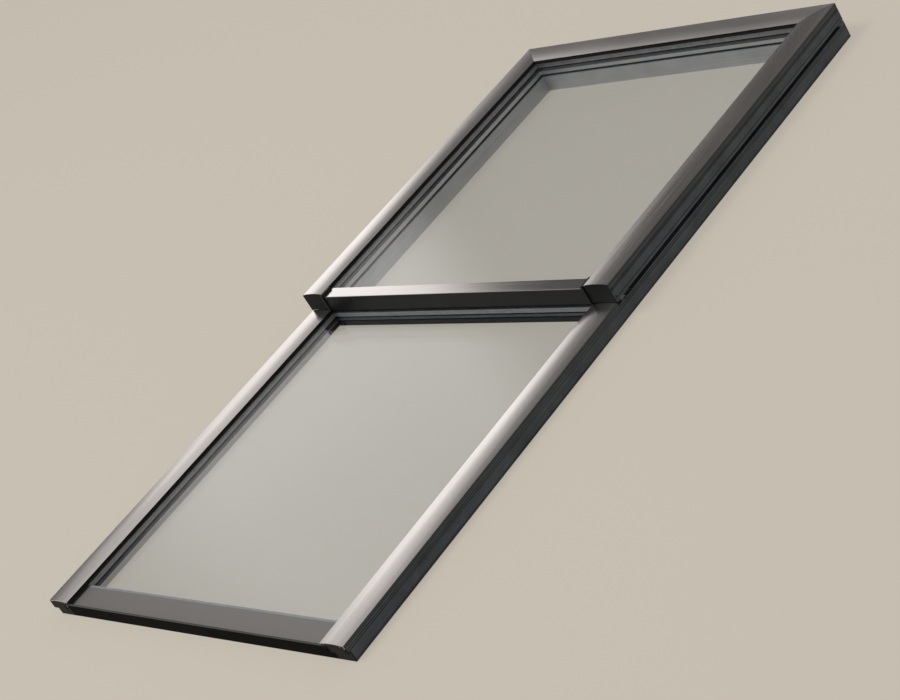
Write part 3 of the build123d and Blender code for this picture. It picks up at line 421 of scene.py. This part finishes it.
# %% [markdown]
# ## Glass
# Each pane is clear float glass with a soft anti-reflection coating. A sheet this thin hardly
# bends what is seen through it, so each face lets light straight through with a slight tint
# and mirrors more towards grazing angles. The mirror share follows Schlick's rule on Layer
# Weight's Facing, which is the same for both sides of a face; the Fresnel node would turn the
# back faces into full mirrors. The ground edges look green-grey and nearly opaque.

# %% Coated float glass
HEAD_ON_SHARE = 0.04  # what bare glass mirrors of light that meets it square on
FLAT = 0.9  # a pane's face is flat where its normal's z is more than this


def float_glass(name, tint, coating):
    """Straight-through glass: tinted transparency, a Schlick mirror share, dark ground edges."""
    node, finish = material(name)
    facing = node("LayerWeight", Blend=0.5).outputs["Facing"]
    fifth = node("Math", {"operation": "POWER"}, i0=facing, i1=5.0).outputs[0]
    share = node("MapRange", Value=fifth, i3=HEAD_ON_SHARE * coating, i4=coating)
    through = node("BsdfTransparent", Color=linear(tint))
    mirror = node("BsdfGlossy", Color=linear("FFFFFF"), Roughness=0.015)
    face = node(
        "MixShader", i0=share.outputs["Result"], i1=through.outputs[0], i2=mirror.outputs[0]
    )
    place = node("TexCoord")
    grit = node("TexNoise", Vector=place.outputs["Object"], Scale=300.0, Detail=2.0)
    edge = node("ValToRGB", stops=((0.3, "161C1A"), (0.7, "242C29")), Fac=grit.outputs["Fac"])
    ground = node("BsdfPrincipled", Base_Color=edge.outputs["Color"], Roughness=0.35)
    upright = node("SeparateXYZ", Vector=place.outputs["Normal"]).outputs["Z"]
    flat = node("Math", {"operation": "ABSOLUTE"}, i0=upright).outputs[0]
    is_face = node("Math", {"operation": "GREATER_THAN"}, i0=flat, i1=FLAT).outputs[0]
    return finish(node("MixShader", i0=is_face, i1=ground.outputs[0], i2=face.outputs[0]))


outer_glass = float_glass("coated_float_glass_outer", "F9FAFB", 0.36)
inner_glass = float_glass("coated_float_glass_inner", "FAFBFC", 0.3)
print(outer_glass.name, inner_glass.name)

# %% [markdown]
# ## Putting the finishes on the model
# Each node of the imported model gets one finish. The mesh itself is left as it is; only its
# material slots are filled.

# %% Finish of every node
WEARS = {
    cover_side: ["lower_cover_left", "lower_cover_right", "sash_cover_left", "sash_cover_right"],
    cover_across: ["sash_cover_head"],
    strip: ["meeting_rail_cap"],
    slate: [
        "base_left_rail", "base_right_rail", "base_head_rail", "sash_left_rail",
        "sash_right_rail", "sash_head_rail", "head_weather_bar",
    ],
    reveal: ["reveal_liner_left", "reveal_liner_right", "reveal_liner_head"],
    black_profile: [
        # The transom brackets stand where the end cap's shadow falls, so their black is partly
        # painted shade.
        "base_transom", "meeting_rail", "transom_brackets", "end_plate_left",
        "end_plate_right",
    ],
    sill_black: ["base_sill_rail"],
    mill: [
        "pressure_plate_left", "pressure_plate_right", "sash_pressure_plates",
        "running_track_left", "running_track_right",
    ],
    outer_glass: ["lower_outer_pane", "sash_outer_pane"],
    inner_glass: ["lower_inner_pane", "sash_inner_pane"],
    spacer: ["lower_spacer_bar", "sash_spacer_bar"],
    pile: ["brush_seals"],
    rubber: ["lower_gaskets", "sash_gaskets", "wiper_seal"],
    bedding: ["lower_bedding_strips", "sash_bedding_strips"],
    cap_plastic: [
        "rail_end_caps", "end_cap_left", "end_cap_right", "setting_blocks", "gear_motor",
        "shaft_bearings",
    ],
    acetal: ["front_left_roller", "front_right_roller", "rear_left_roller", "rear_right_roller"],
    zinc: [
        "pressure_plate_screws", "sash_screws", "roller_carriages", "roller_axles",
        "cross_shaft", "pinion_left", "pinion_right", "rack_left", "rack_right",
    ],
}
for finish_used, names in WEARS.items():
    for name in names:
        mesh = nodes[name].data
        mesh.materials.clear()
        mesh.materials.append(finish_used)
bare = set(nodes) - {name for names in WEARS.values() for name in names}
print("finished", len(nodes) - len(bare), "bare", bare)

# %% [markdown]
# ## Helpers for new pieces
# New pieces are surfaces on a grid: a function of two parameters gives a whole array of
# points, and the faces join neighbours. The last column joins the first, so the surface
# closes into a ring. Points that fall together, as at a pole, are merged, and the faces are
# turned outwards, because a mirrored piece would be inside out.

# %% Closed surface
def ring_faces(rows, columns):
    """Quads between the points of a rows x columns grid whose last column joins the first."""
    r, c = np.meshgrid(np.arange(rows - 1), np.arange(columns), indexing="ij")
    here, there = r * columns, (c + 1) % columns
    corners = (here + c, here + columns + c, here + columns + there, here + there)
    return np.stack([corner.ravel() for corner in corners], 1).tolist()


def surface(name, points, faces, finish_used, body, smooth=False):
    """A closed mesh object at the origin from points and faces, riding on a body."""
    mesh = bpy.data.meshes.new(name)
    mesh.from_pydata(points.tolist(), [], faces)
    mesh.polygons.foreach_set("use_smooth", [smooth] * len(mesh.polygons))
    mesh.materials.append(finish_used)
    work = bmesh.new()
    work.from_mesh(mesh)
    bmesh.ops.remove_doubles(work, verts=work.verts, dist=0.001 * MM)
    bmesh.ops.recalc_face_normals(work, faces=work.faces)
    work.to_mesh(mesh)
    work.free()
    piece = bpy.data.objects.new(name, mesh)
    bpy.context.scene.collection.objects.link(piece)
    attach(piece, body)
    print(name, len(mesh.vertices), "points", len(mesh.polygons), "faces")
    return piece


print("surface helper ready")

# %% [markdown]
# A bar is the commonest new piece: an outline carried along a straight line and closed at
# both ends. Both ends get a face of their own.

# %% Bars
def bars(outlines, start, end, axis):
    """Closed bars: each outline (k x 2) is carried from start to end along an axis.

    Point (i, j) of a bar is outline point j at end i. Returns points and faces.
    """
    points, faces, base = [], [], 0
    order = {"y": (0, 2, 1), "z": (0, 1, 2)}[axis]
    for outline in outlines:
        count = len(outline)
        ring = np.concatenate([np.c_[outline, np.full(count, v)] for v in (start, end)])
        points.append(ring[:, order])
        closed = np.array(ring_faces(2, count)) + base
        first = np.arange(count) + base
        faces += closed.tolist() + [first.tolist(), (first[::-1] + count).tolist()]
        base += 2 * count
    return np.concatenate(points), faces


print("bar helper ready")

# %% [markdown]
# ## Enamel border
# Under the lower edge of the outer pane the sill shows through. On the real pane a grey
# ceramic enamel is fired onto the glass there, so nothing behind it is seen. It is a sheet a
# tenth of a millimetre thick in the pane's lower face, a little narrower than the glass.

# %% Enamel finish
node, finish = material("grey_ceramic_enamel")
place = node("TexCoord").outputs["Object"]
fleck = node("TexNoise", Vector=place, Scale=350.0, Detail=2.0).outputs["Fac"]
colour = node("ValToRGB", stops=((0.3, "787470"), (0.7, "84807C")), Fac=fleck)
enamel = finish(node("BsdfPrincipled", Base_Color=colour.outputs["Color"], Roughness=0.5))
print(enamel.name)

# %% [markdown]
# The border starts near the pane's lower edge and ends 5 mm past the lower edge of the inner
# pane, so that it also hides the seal between the panes.

# %% Enamel border
ENAMEL_LIFT = 0.05 * MM  # above the pane's lower face, so that the two don't coincide
ENAMEL_THICKNESS = 0.1 * MM
low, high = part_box("lower_outer_pane")
left, right, bottom = low.x + 1 * MM, high.x - 1 * MM, low.y + 1.5 * MM
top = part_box("lower_inner_pane")[0].y + 5 * MM
fired = low.z + ENAMEL_LIFT
points, faces = bars(
    [[(left, bottom), (right, bottom), (right, top), (left, top)]],
    fired, fired + ENAMEL_THICKNESS, "z",
)
surface("enamel_border", points, faces, enamel, "base_frame")

# %% [markdown]
# ## Closing caps of the lower covers
# A cover is a hollow shell, and its lower end would show the pressure plate inside. A thin
# moulded cap closes it, as on the real frame. Its top follows the dome from inside: an arc
# through the two edges and the crown, 2.3 mm below the outer skin.

# %% Cover end caps
CROWN = 4 * MM  # how far a cover's dome rises over its edges
SKIN = 2.3 * MM  # a cover's 2 mm skin and a little play
COVER_CAP = 1.7 * MM  # the cap's thickness
ARC_POINTS = 25


def dome_rise(depth, width, rise):
    """Height of an arc over its edges: rise - r + sqrt(r^2 - (depth - width/2)^2), where
    r = (width^2/4 + rise^2)/(2 rise)."""
    radius = (width**2 / 4 + rise**2) / (2 * rise)
    return rise - radius + np.sqrt(radius**2 - (depth - width / 2) ** 2)


low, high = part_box("lower_cover_right")
width = high.x - low.x
depth = np.linspace(SKIN, width - SKIN, ARC_POINTS)
arc = high.z - CROWN + dome_rise(depth, width, CROWN) - SKIN
foot = low.z + 0.2 * MM
outlines = []
for side in (1, -1):
    x = side * (high.x - depth)
    outlines.append([*zip(x, arc), (x[-1], foot), (x[0], foot)])
y_end = low.y + 0.1 * MM
points, faces = bars(outlines, y_end, y_end + COVER_CAP, "y")
surface("cover_end_caps", points, faces, cap_plastic, "base_frame")

# %% [markdown]
# ## Closing caps at the head of the sash
# The sash's side rails are open channels, and at the head one could look through them. A
# moulded cap sits in each open end, 0.5 mm behind the rail's end face. Its outline goes
# round the web that carries the rack, and it stays above the tracks that the sash runs over.

# %% Sash head caps
PLAY = 0.2 * MM
RECESS = 0.5 * MM  # how far a cap sits behind the rail's end face
HEAD_CAP = 2.5 * MM  # the cap's thickness
CHANNEL = (4 * MM, 67 * MM)  # the open channel, measured from the rail's outer face
CEILING = 3 * MM  # the wall over the channel
WEB_DEPTH, WEB_BOTTOM, WEB_TOP = 27 * MM, 90 * MM, 93 * MM


def channel_outline(side, x_face, underside, top):
    """Outline of the open channel in a side rail, looking along it, 0.2 mm inside its walls."""
    near, far = CHANNEL[0] + PLAY, CHANNEL[1] - PLAY
    web, over, under = WEB_DEPTH + PLAY, WEB_TOP + PLAY, WEB_BOTTOM - PLAY
    outline = [
        (near, underside), (far, underside), (far, top), (near, top),
        (near, over), (web, over), (web, under), (near, under),
    ]
    return [(side * (x_face - depth), z) for depth, z in outline]


low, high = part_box("sash_right_rail")
underside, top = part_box("sash_head_rail")[0].z, high.z - CEILING - PLAY
outlines = [channel_outline(side, high.x, underside, top) for side in (1, -1)]
y_end = high.y - RECESS
points, faces = bars(outlines, y_end - HEAD_CAP, y_end, "y")
surface("sash_head_caps", points, faces, cap_plastic, "upper_sash")

# %% [markdown]
# ## Screws in the sides of the sash
# Two small black screws on each side, near the sash's lower end, hold the meeting rail. A
# screw's head is a turned shape: a profile of radius and height goes round its axis. A round
# recess stands for the socket, which is too small for its corners to show.

# %% Side screws
SCREW_RADIUS, SCREW_PROUD = 3.5 * MM, 1.2 * MM
SCREW_HEIGHTS = (82 * MM, 108 * MM)
SCREW_SETBACK = 8 * MM  # from the rail's lower end
TURNS = 24
HEAD = np.array([  # radius and height, as shares of the head's: socket, rim, side and back
    (0.0, 0.15), (0.45, 0.15), (0.5, 0.5), (0.6, 0.95), (0.8, 0.9), (0.95, 0.5), (1.0, 0.0),
    (1.0, -0.3), (0.0, -0.3),
])


def turned_heads(centres, sides):
    """Screw heads: ring k has the radius and height of profile point k, turned about X."""
    radius, height = (HEAD * (SCREW_RADIUS, SCREW_PROUD)).T[:, :, None]
    angle = np.linspace(0, 2 * np.pi, TURNS, endpoint=False)
    rings = np.broadcast_arrays(height, radius * np.cos(angle), radius * np.sin(angle))
    head = np.stack(rings, 2).reshape(-1, 3)
    points = [centre + head * (side, 1, 1) for centre, side in zip(centres, sides)]
    one = np.array(ring_faces(len(HEAD), TURNS))
    faces = [one + k * len(head) for k in range(len(centres))]
    return np.concatenate(points), np.concatenate(faces).tolist()


low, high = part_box("sash_right_rail")
sides = [1, 1, -1, -1]
centres = [
    np.array((side * high.x, low.y + SCREW_SETBACK, z))
    for side, z in zip(sides, SCREW_HEIGHTS * 2)
]
points, faces = turned_heads(centres, sides)
surface("side_screws", points, faces, black_profile, "upper_sash", smooth=True)

# %% [markdown]
# ## Floor and backdrop
# The picture has a plain warm beige surround. The floor is a wide sheet just under the part.
# For the camera, and for what glass and metal mirror, most of its brightness is its own, so
# it stays as even as a backdrop; the rest is lit, and keeps the soft shadow of the part.
# For every other ray it is a plain matt floor. The lift makes up for what the lamps don't
# give the lit share.

# %% Floor
SURROUND = "C9C1B4"
GLOW = 0.62
LIFT = 0.07
FLOOR_REACH, FLOOR_DROP = 60.0, 0.3 * MM
node, finish = material("beige_studio_floor")
path = node("LightPath").outputs
seen = path["Is Camera Ray"]
for ray in ("Is Glossy Ray", "Is Transmission Ray"):
    seen = node("Math", {"operation": "MAXIMUM"}, i0=seen, i1=path[ray]).outputs[0]
lit_share = tuple((1 - GLOW) * v for v in linear(SURROUND)[:3]) + (1,)
glow = node("Emission", Color=linear(SURROUND), Strength=GLOW + LIFT)
lit = node("BsdfDiffuse", Color=lit_share)
shown = node("AddShader", i0=glow.outputs[0], i1=lit.outputs[0])
matt = node("BsdfDiffuse", Color=linear("A29C92"))
floor_finish = finish(node("MixShader", i0=seen, i1=matt.outputs[0], i2=shown.outputs[0]))

mesh = bpy.data.meshes.new("studio_floor")
square = [(-1, -1), (1, -1), (1, 1), (-1, 1)]
corners = [(FLOOR_REACH * x, FLOOR_REACH * y, -FLOOR_DROP) for x, y in square]
mesh.from_pydata(corners, [], [[0, 1, 2, 3]])
mesh.materials.append(floor_finish)
floor = bpy.data.objects.new("studio_floor", mesh)
bpy.context.scene.collection.objects.link(floor)
print("floor", floor_finish.name)

# %% [markdown]
# ## Light
# The room is a pale dome. Metal shows what surrounds it, so the dome has what a studio would
# put there: one tall soft light to the left behind the part, which the covers and the cap
# strip mirror as a bright stretch, and a dark screen behind it, which turns the rest of the
# covers grey. Both stand on the floor and have soft edges, worked out from how far a direction
# points sideways and upwards. The lamp leans a little and fades towards its top.

# %% Looking directions of the dome
LAMP_AZIMUTH = 60.0
LEAN = 0.05
MIDDLE = 0.39 * LEAN  # how far the leaning lamp has moved across halfway up


def direction(azimuth):
    """Unit vector along the floor; azimuth turns from +Y towards -X."""
    angle = np.radians(azimuth)
    return (-np.sin(angle), np.cos(angle), 0.0)


world = bpy.data.worlds.new("studio_dome")
bpy.context.scene.world = world
world.use_nodes = True
world.node_tree.nodes.clear()
node = adder(world.node_tree)
look = node("TexCoord").outputs["Generated"]
height, across, ahead = [
    node("VectorMath", {"operation": "DOT_PRODUCT"}, i0=look, i1=axis).outputs["Value"]
    for axis in ((0.0, 0.0, 1.0), direction(LAMP_AZIMUTH + 90), direction(LAMP_AZIMUTH))
]
leaning = node(
    "Math", {"operation": "MULTIPLY_ADD"}, i0=height, i1=LEAN, i2=across
).outputs[0]
print("lamp at azimuth", LAMP_AZIMUTH)

# %% [markdown]
# Each soft edge runs smoothly from 0 to 1 between two values of a direction. The lamp and the
# screen are products of their edges.

# %% Soft edges of the lamp and the screen
EDGES = {
    "lamp left": (leaning, 0.14 + MIDDLE, 0.04 + MIDDLE),
    "lamp right": (leaning, -0.12 + MIDDLE, -0.07 + MIDDLE),
    "lamp foot": (height, -0.05, 0.05),
    "lamp top": (height, 0.85, 0.6),
    "lamp fades": (height, 0.4, 0.5),
    "in front": (ahead, 0.0, 0.2),
    "screen left": (across, 0.36, 0.22),
    "screen right": (across, -0.75, -0.32),
    "screen top": (height, 0.97, 0.8),
}
soft = {}
for edge, (value, start, end) in EDGES.items():
    step = node(
        "MapRange", {"interpolation_type": "SMOOTHSTEP"}, i0=value, i1=start, i2=end
    )
    soft[edge] = step.outputs["Result"]


def product(*factors):
    """All the factors multiplied, one after another."""
    total = factors[0]
    for factor in factors[1:]:
        total = node("Math", {"operation": "MULTIPLY"}, i0=total, i1=factor).outputs[0]
    return total


print("edges", list(soft))

# %% [markdown]
# The room's level goes down where the screen is and up where the lamp is. What the camera sees
# past the floor is the plain surround.

# %% Dome
ROOM_LEVEL, SCREEN_SHADE = 0.5, 0.41
LAMP_LEVEL, TOP_FADE = 1.4, 0.42
fading = node("Math", {"operation": "MULTIPLY_ADD"}, i0=soft["lamp fades"], i1=-TOP_FADE, i2=1.0)
lamp = product(
    soft["lamp left"], soft["lamp right"], soft["in front"], soft["lamp foot"],
    soft["lamp top"], fading.outputs[0],
)
screen = product(
    soft["screen left"], soft["screen right"], soft["in front"], soft["screen top"]
)
room = node("Math", {"operation": "MULTIPLY_ADD"}, i0=screen, i1=-SCREEN_SHADE, i2=ROOM_LEVEL)
level = node(
    "Math", {"operation": "MULTIPLY_ADD"}, i0=lamp, i1=LAMP_LEVEL, i2=room.outputs[0]
)
dome = node("Background", Color=linear("FCF9F8"), Strength=level.outputs[0])
plain = node("Background", Color=linear(SURROUND), Strength=1.0)
camera_ray = node("LightPath").outputs["Is Camera Ray"]
shown = node("MixShader", i0=camera_ray, i1=dome.outputs[0], i2=plain.outputs[0])
node("OutputWorld", Surface=shown.outputs[0])
print("dome", len(world.node_tree.nodes), "nodes")

# %% [markdown]
# A broad key light from above the lower end gives the soft shadow. It is large and far, so the
# floor is lit evenly.

# %% Key light
KEY_PLACE = Vector((-4.0, -6.0, 14.0))
KEY_SIZE, KEY_POWER = 6.0, 900
key = bpy.data.lights.new("key_light", "AREA")
key.size, key.energy = KEY_SIZE, KEY_POWER
holder = bpy.data.objects.new("key_light", key)
aim = (-KEY_PLACE).to_track_quat("-Z", "Y")
holder.matrix_world = Matrix.Translation(KEY_PLACE) @ aim.to_matrix().to_4x4()
bpy.context.scene.collection.objects.link(holder)
print("key_light", KEY_POWER, "W")

# %% [markdown]
# ## Camera
# The picture was taken from above the lower right side with a long lens, and the object
# leans in the frame, so the camera is rolled.

# %% Camera
CAMERA_PLACE = Vector((4.8701, -3.5265, 2.9070))
LENS = 84.3555  # millimetres, for a sensor 36 mm wide
camera = bpy.data.cameras.new("photo_camera")
camera.sensor_fit = "HORIZONTAL"
camera.sensor_width = 36.0
camera.lens = LENS
camera.clip_end = 200.0
camera.dof.use_dof = False
right = Vector((0.67787, 0.55442, -0.48281)).normalized()
back = Vector((0.73518, -0.51301, 0.44310)).normalized()
up = back.cross(right).normalized()
right = up.cross(back).normalized()
turn = Matrix((right, up, back)).transposed().to_4x4()
holder = bpy.data.objects.new("photo_camera", camera)
holder.matrix_world = Matrix.Translation(CAMERA_PLACE) @ turn
bpy.context.scene.collection.objects.link(holder)
bpy.context.scene.camera = holder
print("camera", holder.location)

# %% [markdown]
# ## Close the scene
# The render keeps plain colours.

# %% View transform
bpy.context.scene.view_settings.view_transform = "Standard"
